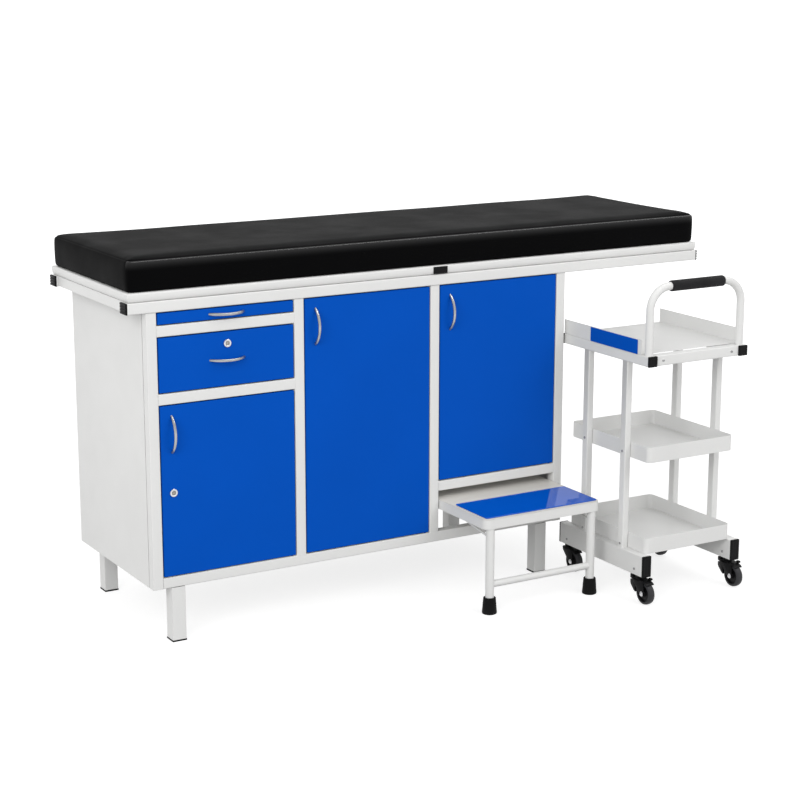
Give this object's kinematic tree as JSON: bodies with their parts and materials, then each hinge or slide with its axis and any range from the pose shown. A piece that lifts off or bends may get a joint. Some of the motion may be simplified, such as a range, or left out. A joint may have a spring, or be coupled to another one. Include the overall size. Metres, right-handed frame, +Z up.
{
  "type": "examination couch with cabinet, pull-out step and instrument trolley",
  "caption": "Cabinet examination couch with a padded flat top, drawers and cupboards, a pull-out step and a wheeled instrument trolley that parks under the overhang.",
  "frame": {"origin": "on the floor, at the middle of the set's footprint with the trolley and step drawn out", "axes": "+X along the couch to its trolley end, +Y from the door side to the back, +Z up"},
  "size_m": [1.85, 0.9696, 1.0489],
  "materials": {
    "white_paint": "white powder coat, semi-gloss",
    "blue_paint": "blue powder coat, semi-gloss",
    "black_vinyl": "black vinyl-coated fabric over foam, soft sheen",
    "plywood": "plain plywood",
    "satin_chrome": "satin chrome",
    "tread_steel": "warm grey paint",
    "blue_mat": "glossy blue rubber mat",
    "black_rubber": "matt black rubber and foam",
    "black_plastic": "moulded black plastic",
    "castor_tread": "dark grey castor tread"
  },
  "bodies": {
    "couch": {"mattress": "black_vinyl", "mattress_board": "plywood", "top_sheet": "white_paint", "top_frame": "white_paint", "name_plate": "black_plastic", "face_frame": "white_paint", "back_frame": "white_paint", "side_panel_left": "white_paint", "side_panel_right": "white_paint", "back_panel": "white_paint", "floor_panel": "white_paint", "step_bay_ceiling": "white_paint", "partition_left": "white_paint", "partition_right": "white_paint", "cupboard_shelf": "white_paint", "leg_front_left": "white_paint", "leg_front_right": "white_paint", "leg_back_left": "white_paint", "leg_back_right": "white_paint", "drawer_runners": "satin_chrome", "step_guides": "satin_chrome"},
    "slim_drawer": {"slim_drawer_front": "blue_paint", "slim_drawer_tray": "white_paint", "slim_drawer_handle": "satin_chrome"},
    "deep_drawer": {"deep_drawer_front": "blue_paint", "deep_drawer_tray": "white_paint", "deep_drawer_handle": "satin_chrome"},
    "deep_drawer_lock": {"deep_drawer_lock": "satin_chrome"},
    "left_door": {"left_door_panel": "blue_paint", "left_door_handle": "satin_chrome"},
    "left_door_lock": {"left_door_lock": "satin_chrome"},
    "middle_door": {"middle_door_panel": "blue_paint", "middle_door_handle": "satin_chrome"},
    "right_door": {"right_door_panel": "blue_paint", "right_door_handle": "satin_chrome"},
    "step": {"step_frame": "white_paint", "step_tread": "tread_steel", "step_mat": "blue_mat", "step_legs": "white_paint", "step_ferrule_left": "black_rubber", "step_ferrule_right": "black_rubber"},
    "trolley": {"trolley_side_left": "white_paint", "trolley_side_right": "white_paint", "trolley_front_rail": "white_paint", "trolley_top_tray": "white_paint", "trolley_trim": "blue_paint", "trolley_middle_tray": "white_paint", "trolley_bottom_tray": "white_paint", "trolley_handle": "white_paint", "trolley_grip": "black_rubber"},
    "castor_front_left": {"castor_fork_front_left": "black_plastic"},
    "castor_wheel_front_left": {"castor_wheel_front_left": "castor_tread"},
    "castor_brake_front_left": {"castor_brake_front_left": "black_plastic"},
    "castor_front_right": {"castor_fork_front_right": "black_plastic"},
    "castor_wheel_front_right": {"castor_wheel_front_right": "castor_tread"},
    "castor_brake_front_right": {"castor_brake_front_right": "black_plastic"},
    "castor_back_left": {"castor_fork_back_left": "black_plastic"},
    "castor_wheel_back_left": {"castor_wheel_back_left": "castor_tread"},
    "castor_back_right": {"castor_fork_back_right": "black_plastic"},
    "castor_wheel_back_right": {"castor_wheel_back_right": "castor_tread"}
  },
  "joints": [
    {"name": "slim_drawer_slide", "type": "slide", "parent": "couch", "child": "slim_drawer", "axis": [0, -1, 0], "range_m": [0, 0.3]},
    {"name": "deep_drawer_slide", "type": "slide", "parent": "couch", "child": "deep_drawer", "axis": [0, -1, 0], "range_m": [0, 0.32]},
    {"name": "deep_drawer_lock_turn", "type": "hinge", "parent": "deep_drawer", "child": "deep_drawer_lock", "pos_m": [-0.644, -0.06125, 0.805], "axis": [0, -1, 0], "range_deg": [0, 90]},
    {"name": "left_door_hinge", "type": "hinge", "parent": "couch", "child": "left_door", "pos_m": [-0.457, -0.05525, 0.184], "axis": [0, 0, 1], "range_deg": [0, 90]},
    {"name": "left_door_lock_turn", "type": "hinge", "parent": "left_door", "child": "left_door_lock", "pos_m": [-0.809, -0.06125, 0.417], "axis": [0, -1, 0], "range_deg": [0, 90]},
    {"name": "middle_door_hinge", "type": "hinge", "parent": "couch", "child": "middle_door", "pos_m": [-0.027, -0.05525, 0.184], "axis": [0, 0, 1], "range_deg": [0, 90]},
    {"name": "right_door_hinge", "type": "hinge", "parent": "couch", "child": "right_door", "pos_m": [0.403, -0.05525, 0.334], "axis": [0, 0, 1], "range_deg": [0, 90]},
    {"name": "step_slide", "type": "slide", "parent": "couch", "child": "step", "axis": [0, -1, 0], "range_m": [-0.2, 0]},
    {"name": "trolley_slide", "type": "slide", "parent": "couch", "child": "trolley", "axis": [0, -1, 0], "range_m": [-0.34, 0.5]},
    {"name": "castor_swivel_front_left", "type": "hinge", "parent": "trolley", "child": "castor_front_left", "pos_m": [0.47, -0.42425, 0.08], "axis": [0, 0, 1], "continuous": true},
    {"name": "castor_spin_front_left", "type": "hinge", "parent": "castor_front_left", "child": "castor_wheel_front_left", "pos_m": [0.47, -0.45225, 0.0325], "axis": [1, 0, 0], "continuous": true},
    {"name": "castor_brake_press_front_left", "type": "hinge", "parent": "castor_front_left", "child": "castor_brake_front_left", "pos_m": [0.47, -0.40795, 0.07075], "axis": [-1, 0, 0], "range_deg": [0, 10]},
    {"name": "castor_swivel_front_right", "type": "hinge", "parent": "trolley", "child": "castor_front_right", "pos_m": [0.793, -0.42425, 0.08], "axis": [0, 0, 1], "continuous": true},
    {"name": "castor_spin_front_right", "type": "hinge", "parent": "castor_front_right", "child": "castor_wheel_front_right", "pos_m": [0.793, -0.45225, 0.0325], "axis": [1, 0, 0], "continuous": true},
    {"name": "castor_brake_press_front_right", "type": "hinge", "parent": "castor_front_right", "child": "castor_brake_front_right", "pos_m": [0.793, -0.40795, 0.07075], "axis": [-1, 0, 0], "range_deg": [0, 10]},
    {"name": "castor_swivel_back_left", "type": "hinge", "parent": "trolley", "child": "castor_back_left", "pos_m": [0.47, -0.07625, 0.08], "axis": [0, 0, 1], "continuous": true},
    {"name": "castor_spin_back_left", "type": "hinge", "parent": "castor_back_left", "child": "castor_wheel_back_left", "pos_m": [0.47, -0.10425, 0.0325], "axis": [1, 0, 0], "continuous": true},
    {"name": "castor_swivel_back_right", "type": "hinge", "parent": "trolley", "child": "castor_back_right", "pos_m": [0.793, -0.07625, 0.08], "axis": [0, 0, 1], "continuous": true},
    {"name": "castor_spin_back_right", "type": "hinge", "parent": "castor_back_right", "child": "castor_wheel_back_right", "pos_m": [0.793, -0.10425, 0.0325], "axis": [1, 0, 0], "continuous": true}
  ]
}
